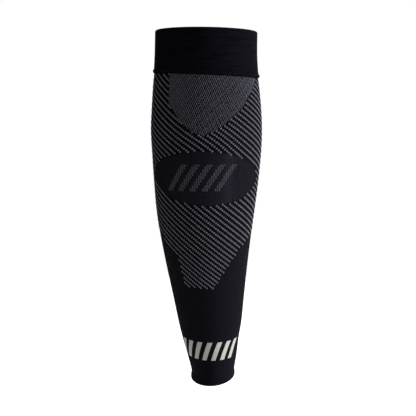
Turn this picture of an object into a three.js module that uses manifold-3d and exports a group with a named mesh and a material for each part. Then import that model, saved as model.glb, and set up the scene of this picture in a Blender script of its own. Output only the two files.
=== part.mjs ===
import * as THREE from 'three';
import Module from 'manifold-3d';

// A knitted compression sleeve for the forearm, worn from below the elbow to the wrist.
// Millimetres, +Z up. The origin is the centre of the cuff's top opening, and the sleeve
// hangs below it in the form that the arm gives it. The panels face -Y, the front.
// A place on the sleeve is an angle in degrees, counted from the front towards +X, and a
// distance down from the top. An offset is counted outwards from the face of the plain knit.

const wasm = await Module();
wasm.setup();

// The sleeve as a whole
const SLEEVE_LENGTH = 304.4;
const WIDEST_WIDTH = 95.6;
const WIDEST_DEPTH = 92;
const WRIST_LEAN = 5.8;      // how far the wrist's centre lies towards +X
const WRIST_BACK = 3;        // and towards +Y
const KNIT_WALL = 1.2;       // the plain knit, from the skin to its outer face
const GAP = 0.3;             // between knitted zones

// The doubled cuff at the top
const CUFF_HEIGHT = 37.7;
const CUFF_WALL = 2.4;
const CUFF_DROOP = 4.2;      // how much lower its edge is at +X than at -X
const FOLD_DROOP = 1.3;      // and its top fold
const CUFF_ROLL_HEIGHT = 4;  // the rolled lower edge
const CUFF_ROLL_RISE = 0.8;

// The net panel under the cuff, a shield that is cut off straight at its left
const VENT_HEIGHT = 50.2;
const VENT_LEFT_ANGLE = -41.5;
const VENT_RIGHT_ANGLE = 69;

// The oval panel
const OVAL_DROP = 35.4;      // from the net panel's point to the oval's centre
const OVAL_HEIGHT = 45.2;
const OVAL_ANGLE = -2;       // where its middle lies
const OVAL_HALF_ANGLE = 70;
const OVAL_DROOP = 2.4;      // how much lower its middle line would be at +X than at -X
const OVAL_RISE = 0.2;
const OVAL_FULLNESS = 1.78;  // 2 is an ellipse, and less is more pointed

// The diagonal ribs, which run down towards +X, and the shield that they end in
const RIBS_AROUND = 37;
const RIB_RISE = 0.6;
const RIB_PITCH = 4.95;      // measured straight down, near the top
const RIB_CROWDING = 0.026;  // the share of ribs more that their crowding at the foot makes
const RIB_CROWDING_POWER = 8;
const RIB_BUNCHING = 9;      // more ribs a turn where they stand closest side by side
const RIB_BUNCH_ANGLE = -7;
const RIB_SWAY = 0.156;      // ribs more at +X, for each oval's height below the oval's centre
const RIB_HEAVE = 0.45;      // ribs more between the two panels, where they are pulled up
const RIB_HEAVE_ANGLE = 5;
const RIB_HEAVE_SPREAD = 28;   // how far that reaches to each side, in degrees
const RIB_HEAVE_HEIGHT = 16;   // and up and down
const RIB_START = 0.357;     // where the first crest lies, in pitches
const RIBS_BELOW_OVAL = 24.1;  // at the back, from the oval's lower edge
const SHIELD_HEIGHT = 47.4;    // from there to the flat foot at the front
const SHIELD_HALF_ANGLE = 86;

// The rolled hem at the wrist
const HEM_HEIGHT = 7;
const HEM_WALL = 1.8;
const HEM_FLARE = 0.5;
const HEM_DROOP = 3.1;       // how much lower its edge is at -X than at +X

// How finely the round forms are divided
const COLUMNS = 36;
const ROW_HEIGHT = 15;
const RIB_ROWS = 2;          // rows of faces for each rib: one up and one down

const DEGREE = Math.PI / 180;
const TURN = 360;
const cutterReach = KNIT_WALL + RIB_RISE;  // takes a zone's space past both faces of the wall

// The bare form, in shares: down of SLEEVE_LENGTH, width of WIDEST_WIDTH, depth of
// WIDEST_DEPTH, lean of WRIST_LEAN and back of WRIST_BACK.
const SECTIONS = [
  { down: 0.0, width: 0.894, depth: 0.913, lean: 0, back: 0 },
  { down: 0.066, width: 0.9, depth: 0.924, lean: -0.05, back: 0 },
  { down: 0.112, width: 0.918, depth: 0.94, lean: -0.05, back: 0 },
  { down: 0.135, width: 0.938, depth: 0.951, lean: -0.05, back: -0.1 },
  { down: 0.204, width: 0.977, depth: 0.984, lean: 0.02, back: -0.27 },
  { down: 0.276, width: 1.0, depth: 1.0, lean: 0.03, back: -0.33 },
  { down: 0.342, width: 0.983, depth: 1.0, lean: 0.05, back: -0.33 },
  { down: 0.434, width: 0.938, depth: 0.978, lean: -0.03, back: -0.23 },
  { down: 0.503, width: 0.893, depth: 0.946, lean: -0.11, back: -0.1 },
  { down: 0.572, width: 0.835, depth: 0.908, lean: -0.09, back: 0.1 },
  { down: 0.668, width: 0.743, depth: 0.853, lean: 0.09, back: 0.4 },
  { down: 0.763, width: 0.651, depth: 0.799, lean: 0.37, back: 0.67 },
  { down: 0.836, width: 0.582, depth: 0.761, lean: 0.57, back: 0.83 },
  { down: 0.885, width: 0.519, depth: 0.739, lean: 0.67, back: 0.93 },
  { down: 0.934, width: 0.457, depth: 0.723, lean: 0.88, back: 1 },
  { down: 0.98, width: 0.397, depth: 0.712, lean: 1, back: 1 },
  { down: 1.0, width: 0.389, depth: 0.712, lean: 1, back: 1 },
];

// The net panel's lower edge: across is a share of the way from VENT_LEFT_ANGLE to VENT_RIGHT_ANGLE,
// and drop a share of VENT_HEIGHT below the cuff.
const VENT_EDGE = [
  { across: 0, drop: 0.48 },
  { across: 0.06, drop: 0.61 },
  { across: 0.12, drop: 0.75 },
  { across: 0.185, drop: 0.86 },
  { across: 0.24, drop: 0.945 },
  { across: 0.3, drop: 0.985 },
  { across: 0.35, drop: 1 },
  { across: 0.42, drop: 0.955 },
  { across: 0.495, drop: 0.885 },
  { across: 0.555, drop: 0.81 },
  { across: 0.625, drop: 0.705 },
  { across: 0.74, drop: 0.525 },
  { across: 0.87, drop: 0.29 },
  { across: 1, drop: 0.07 },
];

// The ribs' lower end: across is a share of SHIELD_HALF_ANGLE, and drop a share of
// SHIELD_HEIGHT below the ribs' end at the back.
const SHIELD_EDGE = [
  { across: -1, drop: 0 },
  { across: -0.79, drop: 0.05 },
  { across: -0.65, drop: 0.27 },
  { across: -0.46, drop: 0.42 },
  { across: -0.435, drop: 0.59 },
  { across: -0.42, drop: 0.8 },
  { across: -0.395, drop: 0.92 },
  { across: -0.31, drop: 0.985 },
  { across: 0.12, drop: 1 },
  { across: 0.17, drop: 0.97 },
  { across: 0.3, drop: 0.74 },
  { across: 0.42, drop: 0.55 },
  { across: 0.6, drop: 0.29 },
  { across: 0.79, drop: 0.14 },
  { across: 1, drop: 0.03 },
];

const knitBlack = new THREE.MeshStandardMaterial({ color: 0x1b1a1e, roughness: 0.9, metalness: 0 });
const ribGrey = new THREE.MeshStandardMaterial({ color: 0x55545c, roughness: 0.85, metalness: 0 });
const netGrey = new THREE.MeshStandardMaterial({ color: 0x46474e, roughness: 0.85, metalness: 0 });

// A smooth curve through one column of the sections, level beyond both ends
function columnCurve(column) {
  const slope = SECTIONS.map((row, i) => {
    const before = SECTIONS[Math.max(i - 1, 0)];
    const after = SECTIONS[Math.min(i + 1, SECTIONS.length - 1)];
    return (after[column] - before[column]) / (after.down - before.down);
  });
  return (share) => {
    const last = SECTIONS.length - 1;
    const at = Math.min(Math.max(share, 0), 1);
    let i = 0;
    while (i < last - 1 && SECTIONS[i + 1].down < at) i += 1;
    const span = SECTIONS[i + 1].down - SECTIONS[i].down;
    const t = (at - SECTIONS[i].down) / span;
    const rise = SECTIONS[i + 1][column] - SECTIONS[i][column];
    const startPull = slope[i] * span - rise;
    const endPull = rise - slope[i + 1] * span;
    return SECTIONS[i][column] + rise * t + t * (1 - t) * (startPull * (1 - t) + endPull * t);
  };
}

const widthAt = columnCurve('width');
const depthAt = columnCurve('depth');
const leanAt = columnCurve('lean');
const backAt = columnCurve('back');

// A point of the sleeve, offset out from the plain knit's face
function surfacePoint(angle, down, offset) {
  const share = down / SLEEVE_LENGTH;
  const halfWidth = (widthAt(share) * WIDEST_WIDTH) / 2 + offset;
  const halfDepth = (depthAt(share) * WIDEST_DEPTH) / 2 + offset;
  const x = leanAt(share) * WRIST_LEAN + halfWidth * Math.sin(angle * DEGREE);
  const y = backAt(share) * WRIST_BACK - halfDepth * Math.cos(angle * DEGREE);
  return [x, y, -down];
}

// The edges that run all the way round, and the places that hang from them
const foldEdge = (angle) => (FOLD_DROOP / 2) * Math.sin(angle * DEGREE);
const cuffEdge = (angle) => CUFF_HEIGHT + (CUFF_DROOP / 2) * Math.sin(angle * DEGREE);
const hemEdge = (angle) => SLEEVE_LENGTH - (HEM_DROOP / 2) * Math.sin(angle * DEGREE);
const hemTop = (angle) => hemEdge(angle) - HEM_HEIGHT;
const ventPoint = CUFF_HEIGHT + VENT_HEIGHT;
const ovalCentre = ventPoint + OVAL_DROP;
const betweenPanels = (ventPoint + ovalCentre - OVAL_HEIGHT / 2) / 2;
const ribsEndBack = ovalCentre + OVAL_HEIGHT / 2 + RIBS_BELOW_OVAL;
const shieldFoot = ribsEndBack + SHIELD_HEIGHT;

function solidOf(points, triangles) {
  const vertProperties = new Float32Array(points.flat());
  const triVerts = new Uint32Array(triangles.flat());
  return new wasm.Manifold(new wasm.Mesh({ numProp: 3, vertProperties, triVerts }));
}

function nodeOf(name, solid, material) {
  const { vertProperties, triVerts } = solid.getMesh();
  const geometry = new THREE.BufferGeometry();
  geometry.setAttribute('position', new THREE.BufferAttribute(vertProperties, 3));
  geometry.setIndex(new THREE.BufferAttribute(triVerts, 1));
  geometry.computeVertexNormals();
  const mesh = new THREE.Mesh(geometry, material);
  mesh.name = name;
  return mesh;
}

// Joins a loop of places at each angle into one solid. A loop goes up the outside and comes
// down the inside in as many steps. A ring closes on itself, and a strip gets two ends.
function loftAround(angles, loopAt, isRing) {
  const loops = angles.map((angle) => loopAt(angle));
  const size = loops[0].length;
  const points = loops.flatMap((loop, i) =>
    loop.map(([down, offset]) => surfacePoint(angles[i], down, offset)));
  const triangles = [];
  const steps = isRing ? angles.length : angles.length - 1;
  for (let i = 0; i < steps; i += 1) {
    const here = i * size;
    const next = ((i + 1) % angles.length) * size;
    for (let j = 0; j < size; j += 1) {
      const above = (j + 1) % size;
      triangles.push([here + j, next + j, next + above]);
      triangles.push([here + j, next + above, here + above]);
    }
  }
  if (!isRing) {
    const end = (angles.length - 1) * size;
    for (let j = 0; j < size / 2 - 1; j += 1) {
      const across = size - 1 - j;
      triangles.push([j, j + 1, across - 1], [j, across - 1, across]);
      triangles.push([end + j, end + across - 1, end + j + 1]);
      triangles.push([end + j, end + across, end + across - 1]);
    }
  }
  return solidOf(points, triangles);
}

const columnAngles = Array.from({ length: COLUMNS }, (_, i) => (i / COLUMNS) * TURN - TURN / 2);

// The shares, from 0 to 1, that divide a height into rows of about ROW_HEIGHT
function rowShares(height) {
  const count = Math.max(1, Math.round(height / ROW_HEIGHT));
  return Array.from({ length: count + 1 }, (_, i) => i / count);
}

// A wall between two edges and two offsets, which are its outer and its inner face
function wallBetween(angles, upper, lower, outerOffset, innerOffset, isRing) {
  const shares = rowShares(lower(0) - upper(0));
  return loftAround(angles, (angle) => {
    const [bottom, top] = [lower(angle), upper(angle)];
    const downs = shares.map((share) => bottom + (top - bottom) * share);
    return [
      ...downs.map((down) => [down, outerOffset]),
      ...downs.toReversed().map((down) => [down, innerOffset]),
    ];
  }, isRing);
}

const plainWall = (upper, lower, outerOffset) =>
  wallBetween(columnAngles, upper, lower, outerOffset, -KNIT_WALL, true);

// The space of a zone: everything between two edges, through the wall and past both faces
const zoneBlock = (angles, upper, lower, isRing) =>
  wallBetween(angles, upper, lower, cutterReach, -cutterReach, isRing);

// A straight line between the points of an outline, for any angle on it
function lineAt(outline, angle) {
  let i = 0;
  while (i < outline.length - 2 && outline[i + 1].angle < angle) i += 1;
  const [from, to] = [outline[i], outline[i + 1]];
  return from.down + ((to.down - from.down) * (angle - from.angle)) / (to.angle - from.angle);
}

// The same outline, moved by a distance square to itself: down where it is positive
function shiftedOutline(outline, distance) {
  return outline.map((point, i) => {
    const before = outline[Math.max(i - 1, 0)];
    const after = outline[Math.min(i + 1, outline.length - 1)];
    const girthRadius = (widthAt(point.down / SLEEVE_LENGTH) * WIDEST_WIDTH) / 2;
    const along = (after.angle - before.angle) * DEGREE * girthRadius;
    const fall = after.down - before.down;
    const length = Math.hypot(along, fall);
    return {
      angle: point.angle - ((fall / length) * distance) / (girthRadius * DEGREE),
      down: point.down + (along / length) * distance,
    };
  });
}

// An outline whose two ends are drawn out sideways by the gap
function widenedOutline(outline, distance) {
  const shifted = shiftedOutline(outline, distance);
  const sideways = GAP / ((WIDEST_WIDTH / 2) * DEGREE);
  shifted[0].angle = outline[0].angle - sideways;
  shifted[shifted.length - 1].angle = outline[outline.length - 1].angle + sideways;
  return shifted;
}

// The ribs are counted in pitches, down the arm less round it, and a whole number is a crest.
// The pitch shrinks towards the foot, and the stretched panels pull the ribs about a little.
const crowdedAt = (down) => 1 + RIB_CROWDING * (down / shieldFoot) ** RIB_CROWDING_POWER;

function ribsPulled(angle, down) {
  const sway = (Math.sin(angle * DEGREE) * (down - ovalCentre)) / OVAL_HEIGHT;
  const aside = (angle - RIB_HEAVE_ANGLE) / RIB_HEAVE_SPREAD;
  const below = (down - betweenPanels) / RIB_HEAVE_HEIGHT;
  return RIB_SWAY * sway + RIB_HEAVE * Math.exp(-(aside ** 2) - below ** 2);
}

function ribsPassed(angle) {
  const bunched = Math.sin(2 * (angle - RIB_BUNCH_ANGLE) * DEGREE) / (4 * Math.PI);
  return RIBS_AROUND * (angle / TURN + 0.5) + RIB_BUNCHING * bunched + RIB_START;
}

const ribsAt = (angle, down) =>
  (down / RIB_PITCH) * crowdedAt(down) + ribsPulled(angle, down) - ribsPassed(angle);

// How far down a rib lies at an angle, found in steps from its plain place
function ribDown(rib, angle) {
  const steps = 30;
  let down = (rib + ribsPassed(angle)) * RIB_PITCH;
  for (let i = 0; i < steps; i += 1) {
    const plain = (rib + ribsPassed(angle) - ribsPulled(angle, down)) * RIB_PITCH;
    down = plain / crowdedAt(down);
  }
  return down;
}

function ribbedLayer(from, to, innerOffset) {
  const rowsInTurn = RIB_ROWS * RIBS_AROUND;
  const points = [];
  const numberOf = new Map();
  const corner = (column, row) => {
    const wraps = column === COLUMNS;
    const key = wraps ? `0 ${row + rowsInTurn}` : `${column} ${row}`;
    if (!numberOf.has(key)) {
      const angle = (column / COLUMNS) * TURN - TURN / 2;
      const down = ribDown(row / RIB_ROWS, angle);
      const isCrest = row % RIB_ROWS === 0;
      numberOf.set(key, points.length / 2);
      points.push(surfacePoint(angle, down, isCrest ? RIB_RISE : 0));
      points.push(surfacePoint(angle, down, innerOffset));
    }
    return numberOf.get(key);
  };
  const outside = [];
  for (let column = 0; column < COLUMNS; column += 1) {
    const angle = (column / COLUMNS) * TURN - TURN / 2;
    const firstRow = Math.ceil(ribsAt(angle, from) * RIB_ROWS);
    const lastRow = Math.floor(ribsAt(angle, to) * RIB_ROWS);
    for (let row = firstRow; row < lastRow; row += 1) {
      const [a, d] = [corner(column, row), corner(column, row + 1)];
      const [b, c] = [corner(column + 1, row), corner(column + 1, row + 1)];
      outside.push([a, d, b], [d, c, b]);
    }
  }
  const edges = outside.flatMap(([a, b, c]) => [[a, b], [b, c], [c, a]]);
  const known = new Set(edges.map(([a, b]) => `${a} ${b}`));
  const rim = edges.filter(([a, b]) => !known.has(`${b} ${a}`));
  const outer = (n) => n * 2;
  const inner = (n) => n * 2 + 1;
  const triangles = [
    ...outside.map((face) => face.map(outer)),
    ...outside.map(([a, b, c]) => [inner(c), inner(b), inner(a)]),
    ...rim.map(([a, b]) => [outer(b), outer(a), inner(a)]),
    ...rim.map(([a, b]) => [outer(b), inner(a), inner(b)]),
  ];
  return solidOf(points, triangles);
}

// The outlines of the zones
const ventOutline = VENT_EDGE.map(({ across, drop }) => ({
  angle: VENT_LEFT_ANGLE + across * (VENT_RIGHT_ANGLE - VENT_LEFT_ANGLE),
  down: CUFF_HEIGHT + drop * VENT_HEIGHT,
}));

function ovalOutline(side) {
  const steps = 16;
  const tip = 80;  // the curve stops this side of 90 degrees, so that its ends are blunt
  return Array.from({ length: steps + 1 }, (_, i) => {
    const turn = ((2 * i) / steps - 1) * tip * DEGREE;
    const across = Math.sin(turn);
    const rise = (1 - Math.abs(across) ** OVAL_FULLNESS) ** (1 / OVAL_FULLNESS);
    const angle = OVAL_ANGLE + across * OVAL_HALF_ANGLE;
    const middle = ovalCentre + (OVAL_DROOP / 2) * Math.sin(angle * DEGREE);
    return { angle, down: middle + side * rise * (OVAL_HEIGHT / 2) };
  });
}

const ribsEndOutline = [
  { angle: -TURN / 2, down: ribsEndBack },
  ...SHIELD_EDGE.map(({ across, drop }) => ({
    angle: across * SHIELD_HALF_ANGLE,
    down: ribsEndBack + drop * SHIELD_HEIGHT,
  })),
  { angle: TURN / 2, down: ribsEndBack },
];

// The angles of the columns and of an outline's points together, for a ring
function ringAngles(outline) {
  const own = outline.map((point) => point.angle).filter((angle) => Math.abs(angle) < TURN / 2);
  const apart = TURN / COLUMNS / 3;
  const free = columnAngles.filter((angle) => own.every((other) => Math.abs(other - angle) > apart));
  return [...own, ...free].sort((a, b) => a - b);
}

const underCuff = (angle) => cuffEdge(angle) + GAP;

// Cuff: knitted to double height and turned in, so its top is a fold and its lower edge a roll
function topCuff() {
  const outside = CUFF_WALL - KNIT_WALL;
  const middle = (outside - KNIT_WALL) / 2;
  const fold = CUFF_WALL / 2;
  const roll = CUFF_ROLL_HEIGHT / 2;
  const wallShares = rowShares(CUFF_HEIGHT - CUFF_ROLL_HEIGHT - fold);
  return loftAround(columnAngles, (angle) => {
    const [edge, top] = [cuffEdge(angle), foldEdge(angle)];
    const rollTop = edge - CUFF_ROLL_HEIGHT;
    const rows = wallShares.map((share) => rollTop + (top + fold - rollTop) * share);
    const rollArc = [60, 20, -20, -60].map((turn) => [
      edge - roll + roll * Math.sin(turn * DEGREE),
      outside + CUFF_ROLL_RISE * Math.cos(turn * DEGREE),
    ]);
    const foldArc = [36, 72, 108, 144].map((turn) => [
      top + fold * (1 - Math.sin(turn * DEGREE)),
      middle + fold * Math.cos(turn * DEGREE),
    ]);
    return [
      [edge, outside - CUFF_ROLL_RISE / 2],
      ...rollArc,
      ...rows.map((down) => [down, outside]),
      ...foldArc,
      ...rows.toReversed().map((down) => [down, -KNIT_WALL]),
      [edge, -KNIT_WALL],
    ];
  }, true);
}

// Hem: the last rows rolled outwards over themselves, a little wider than the wrist
function wristHem() {
  const outside = HEM_WALL - KNIT_WALL;
  const roll = HEM_WALL / 2;
  return loftAround(columnAngles, (angle) => {
    const [edge, top] = [hemEdge(angle), hemTop(angle)];
    const middle = edge - roll;
    const flare = (share) => HEM_FLARE * share;
    const bottomArc = [-144, -108, -72, -36].map((turn) => [
      middle - roll * Math.sin(turn * DEGREE),
      (outside - KNIT_WALL) / 2 + flare(1) + roll * Math.cos(turn * DEGREE),
    ]);
    return [
      ...bottomArc,
      [middle, outside + flare(1)],
      [(middle + top) / 2, outside + flare(0.6)],
      [top + roll, outside],
      [top, outside - roll / 2],
      [top, -KNIT_WALL],
      [(middle + top) / 2, flare(0.3) - KNIT_WALL],
      [middle, flare(1) - KNIT_WALL],
    ];
  }, true);
}

// The net panel, cut from a plain wall by its outline under the cuff
function ventPanel() {
  const wall = plainWall(cuffEdge, () => ventPoint + ROW_HEIGHT, 0);
  const angles = ventOutline.map((point) => point.angle);
  return wall.intersect(zoneBlock(angles, underCuff, (angle) => lineAt(ventOutline, angle), false));
}

function ovalPanel() {
  const [upper, lower] = [ovalOutline(-1), ovalOutline(1)];
  const wall = plainWall(
    () => ovalCentre - OVAL_HEIGHT / 2 - ROW_HEIGHT,
    () => ovalCentre + OVAL_HEIGHT / 2 + ROW_HEIGHT,
    OVAL_RISE,
  );
  const angles = upper.map((point) => point.angle);
  return wall.intersect(
    zoneBlock(angles, (angle) => lineAt(upper, angle), (angle) => lineAt(lower, angle), false),
  );
}

// The two panels' spaces, a gap larger all round
function ventSpace() {
  const lower = widenedOutline(ventOutline, GAP);
  return zoneBlock(lower.map((point) => point.angle), cuffEdge, (angle) => lineAt(lower, angle), false);
}

function ovalSpace() {
  const upper = widenedOutline(ovalOutline(-1), -GAP);
  const lower = widenedOutline(ovalOutline(1), GAP);
  const angles = upper.map((point) => point.angle);
  return zoneBlock(angles, (angle) => lineAt(upper, angle), (angle) => lineAt(lower, angle), false);
}

// The ribbed zone: a ribbed layer on a backing, one reaching a little into the other, cut to
// its edges and round both panels
function ribZone() {
  const [layerInside, backingOutside] = [-0.6 * KNIT_WALL, -0.3 * KNIT_WALL];
  const [from, to] = [CUFF_HEIGHT / 2, shieldFoot + ROW_HEIGHT];
  const layer = ribbedLayer(from, to, layerInside);
  const backing = plainWall(() => from, () => to, backingOutside);
  const zone = zoneBlock(
    ringAngles(ribsEndOutline), underCuff, (angle) => lineAt(ribsEndOutline, angle), true,
  );
  return layer.add(backing).intersect(zone).subtract(ventSpace()).subtract(ovalSpace());
}

function lowerSleeve() {
  const upper = shiftedOutline(ribsEndOutline, GAP);
  const overHem = (angle) => hemTop(angle) - GAP;
  const wall = plainWall(() => ribsEndBack - ROW_HEIGHT, overHem, 0);
  return wall.intersect(
    zoneBlock(ringAngles(upper), (angle) => lineAt(upper, angle), hemEdge, true),
  );
}

const sleeve = new THREE.Group();
sleeve.add(nodeOf('top_cuff', topCuff(), knitBlack));
sleeve.add(nodeOf('rib_zone', ribZone(), ribGrey));
sleeve.add(nodeOf('vent_panel', ventPanel(), netGrey));
sleeve.add(nodeOf('oval_panel', ovalPanel(), knitBlack));
sleeve.add(nodeOf('lower_sleeve', lowerSleeve(), knitBlack));
sleeve.add(nodeOf('wrist_hem', wristHem(), knitBlack));

export default sleeve;
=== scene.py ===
# %% [markdown]
# # A knitted forearm sleeve
# The sleeve is knitted in one piece on a round machine: a doubled cuff, a black body with raised
# grey ribs, a grey net panel, a plain oval panel, a plain lower part and a rolled hem. This
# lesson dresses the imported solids. It first rebuilds the sleeve's form as one smooth surface with
# a knitting chart on it, and then lays fabric, stitches, net and print on that surface.

# %% Load the frame
import math

import bpy
import numpy as np
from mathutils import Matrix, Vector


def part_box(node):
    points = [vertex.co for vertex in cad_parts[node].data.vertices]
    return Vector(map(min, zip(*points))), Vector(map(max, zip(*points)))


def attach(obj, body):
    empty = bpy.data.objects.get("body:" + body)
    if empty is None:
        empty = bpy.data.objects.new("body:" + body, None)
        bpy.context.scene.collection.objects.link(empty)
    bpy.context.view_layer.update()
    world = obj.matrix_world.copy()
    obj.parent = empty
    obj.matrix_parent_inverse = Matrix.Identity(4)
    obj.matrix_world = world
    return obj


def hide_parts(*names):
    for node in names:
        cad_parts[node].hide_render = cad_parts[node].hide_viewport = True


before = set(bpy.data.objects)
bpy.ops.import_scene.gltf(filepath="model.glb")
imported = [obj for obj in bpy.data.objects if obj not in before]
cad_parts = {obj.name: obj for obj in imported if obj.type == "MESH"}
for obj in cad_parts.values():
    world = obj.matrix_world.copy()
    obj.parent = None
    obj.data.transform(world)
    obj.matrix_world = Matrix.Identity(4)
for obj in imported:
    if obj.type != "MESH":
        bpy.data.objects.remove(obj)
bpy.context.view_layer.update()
print("nodes:", ", ".join(sorted(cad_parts)))

# %% [markdown]
# ## The form
# The sleeve keeps the form of the arm in it. Every height comes from the boxes of the solids, and
# the sections between them are shares of the whole, as a tailor's pattern would give them. All
# sizes are in millimetres until a point is made, because a knitter thinks in millimetres.

# %% Sizes, in millimetres
MM = 0.001
KNIT_WALL = 1.2
CUFF_WALL = 2.4
CUFF_DROOP = 4.2
FOLD_DROOP = 1.3
CUFF_ROLL_HEIGHT = 4.0
CUFF_ROLL_RISE = 0.8
CUFF_TUCK = 1.6
HEM_HEIGHT = 7.0
HEM_WALL = 1.8
HEM_FLARE = 0.5
HEM_DROOP = 3.1
RIB_RISE = 0.6
WRIST_LEAN = 5.8
WRIST_BACK = 3.0

rib_low, rib_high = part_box("rib_zone")
vent_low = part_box("vent_panel")[0]
oval_low, oval_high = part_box("oval_panel")
cuff_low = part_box("top_cuff")[0]
hem_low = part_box("wrist_hem")[0]

sleeve_length = -hem_low.z / MM - HEM_DROOP / 2
widest_width = (rib_high.x - rib_low.x) / MM - 2 * RIB_RISE
widest_depth = (rib_high.y - rib_low.y) / MM - 2 * RIB_RISE
cuff_height = -cuff_low.z / MM - CUFF_DROOP / 2
vent_point = -vent_low.z / MM
vent_height = vent_point - cuff_height
oval_centre = -(oval_low.z + oval_high.z) / 2 / MM
oval_height = (oval_high.z - oval_low.z) / MM
ribs_foot = -rib_low.z / MM
print(f"length {sleeve_length:.1f} mm, widest {widest_width:.1f} by {widest_depth:.1f} mm")

# %% The sections, as shares of the whole
# down of the length, width and depth of the widest, lean and back of the wrist's
SECTIONS = np.array([
    (0.0, 0.894, 0.913, 0.0, 0.0),
    (0.066, 0.9, 0.924, -0.05, 0.0),
    (0.112, 0.918, 0.94, -0.05, 0.0),
    (0.135, 0.938, 0.951, -0.05, -0.1),
    (0.204, 0.977, 0.984, 0.02, -0.27),
    (0.276, 1.0, 1.0, 0.03, -0.33),
    (0.342, 0.983, 1.0, 0.05, -0.33),
    (0.434, 0.938, 0.978, -0.03, -0.23),
    (0.503, 0.893, 0.946, -0.11, -0.1),
    (0.572, 0.835, 0.908, -0.09, 0.1),
    (0.668, 0.743, 0.853, 0.09, 0.4),
    (0.763, 0.651, 0.799, 0.37, 0.67),
    (0.836, 0.582, 0.761, 0.57, 0.83),
    (0.885, 0.519, 0.739, 0.67, 0.93),
    (0.934, 0.457, 0.723, 0.88, 1.0),
    (0.98, 0.397, 0.712, 1.0, 1.0),
    (1.0, 0.389, 0.712, 1.0, 1.0),
])
# a turn of 0 or 1 is the back, and +X lies past the front
FRONT = 0.5


def section_value(column, share):
    """A smooth curve through one column of the sections, level beyond both ends."""
    downs, values = SECTIONS[:, 0], SECTIONS[:, column]
    before = np.maximum(np.arange(len(downs)) - 1, 0)
    after = np.minimum(np.arange(len(downs)) + 1, len(downs) - 1)
    slopes = (values[after] - values[before]) / (downs[after] - downs[before])
    at = np.clip(share, 0, 1)
    i = np.clip(np.searchsorted(downs, at, side="right") - 1, 0, len(downs) - 2)
    span = downs[i + 1] - downs[i]
    t = (at - downs[i]) / span
    rise = values[i + 1] - values[i]
    start_pull = slopes[i] * span - rise
    end_pull = rise - slopes[i + 1] * span
    return values[i] + rise * t + t * (1 - t) * (start_pull * (1 - t) + end_pull * t)


def on_sleeve(turn, down, offset=0.0):
    """Points in metres, from a turn round the arm, and millimetres down and outwards."""
    angle = (turn - FRONT) * 2 * math.pi
    share = down / sleeve_length
    half_width = section_value(1, share) * widest_width / 2 + offset
    half_depth = section_value(2, share) * widest_depth / 2 + offset
    x = section_value(3, share) * WRIST_LEAN + half_width * np.sin(angle)
    y = section_value(4, share) * WRIST_BACK - half_depth * np.cos(angle)
    return np.stack([x, y, -down + 0 * x], axis=-1) * MM


def to_the_side(turn):
    """1 at the +X side, -1 at the other, and 0 at the front and the back."""
    return np.sin((turn - FRONT) * 2 * math.pi)


def fold_edge(turn):
    return FOLD_DROOP / 2 * to_the_side(turn)


def cuff_edge(turn):
    return cuff_height + CUFF_DROOP / 2 * to_the_side(turn)


def hem_edge(turn):
    return sleeve_length - HEM_DROOP / 2 * to_the_side(turn)


def body_top(turn):
    """The body starts a little way up under the cuff's rolled edge."""
    return cuff_edge(turn) - CUFF_TUCK


def hem_top(turn):
    return hem_edge(turn) - HEM_HEIGHT


widest_share = SECTIONS[SECTIONS[:, 1].argmax(), 0]
ends = on_sleeve(np.array([0.25, 0.75]), widest_share * sleeve_length)
print(f"the form is {(ends[1, 0] - ends[0, 0]) / MM:.1f} mm wide at its widest")

# %% [markdown]
# ## The zones on the knitting chart
# A knitter draws the zones on a flat chart: across is the turn round the arm, and down the
# distance from the top. A zone is a yes or no for each place on that chart. The zones could be
# meshes of their own, but one chart for all lets one fabric run through them without a seam, as
# it does on the real sleeve.

# %% The zones
VENT_LEFT_ANGLE = -41.5
VENT_RIGHT_ANGLE = 69.0
OVAL_ANGLE = -2.0
OVAL_HALF_ANGLE = 70.0
OVAL_DROOP = 2.4
OVAL_FULLNESS = 1.78
SHIELD_HALF_ANGLE = 86.0
SHIELD_HEIGHT = 47.4
# a margin square to a slanting edge is this much longer straight down
EDGE_SLANT = 1.3
ribs_end_back = ribs_foot - SHIELD_HEIGHT

# across from the left to the right of the net panel, and drop of its height under the cuff
VENT_EDGE = np.array([
    (0, 0.48), (0.06, 0.61), (0.12, 0.75), (0.185, 0.86), (0.24, 0.945), (0.3, 0.985), (0.35, 1),
    (0.42, 0.955), (0.495, 0.885), (0.555, 0.81), (0.625, 0.705), (0.74, 0.525), (0.87, 0.29),
    (1, 0.07),
])
# across of the shield's half angle, and drop of its height under the ribs' end at the back;
# on the right it lies up to 2.3 mm inside the solid's edge, because the end stitches reach past it
SHIELD_EDGE = np.array([
    (-1, 0), (-0.79, 0.05), (-0.65, 0.27), (-0.46, 0.42), (-0.435, 0.59), (-0.42, 0.8),
    (-0.395, 0.92), (-0.31, 0.985), (0.1, 1), (0.135, 0.94), (0.27, 0.73), (0.35, 0.58),
    (0.55, 0.31), (0.77, 0.14), (1, 0.03),
])


def angle_of(turn):
    """Degrees from the front, growing towards +X."""
    return (turn - FRONT) * 360


def turn_of(angle):
    return angle / 360 + FRONT


def in_vent(turn, down, margin=0.0):
    """True in the net panel, drawn in all round by a margin in millimetres."""
    angle = angle_of(turn)
    inset = margin / (math.radians(1) * widest_width / 2)
    across = (angle - VENT_LEFT_ANGLE) / (VENT_RIGHT_ANGLE - VENT_LEFT_ANGLE)
    lowest = cuff_height + vent_height * np.interp(across, VENT_EDGE[:, 0], VENT_EDGE[:, 1])
    between = (angle > VENT_LEFT_ANGLE + inset) & (angle < VENT_RIGHT_ANGLE - inset)
    return between & (down < lowest - EDGE_SLANT * margin) & (down > body_top(turn))


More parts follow.
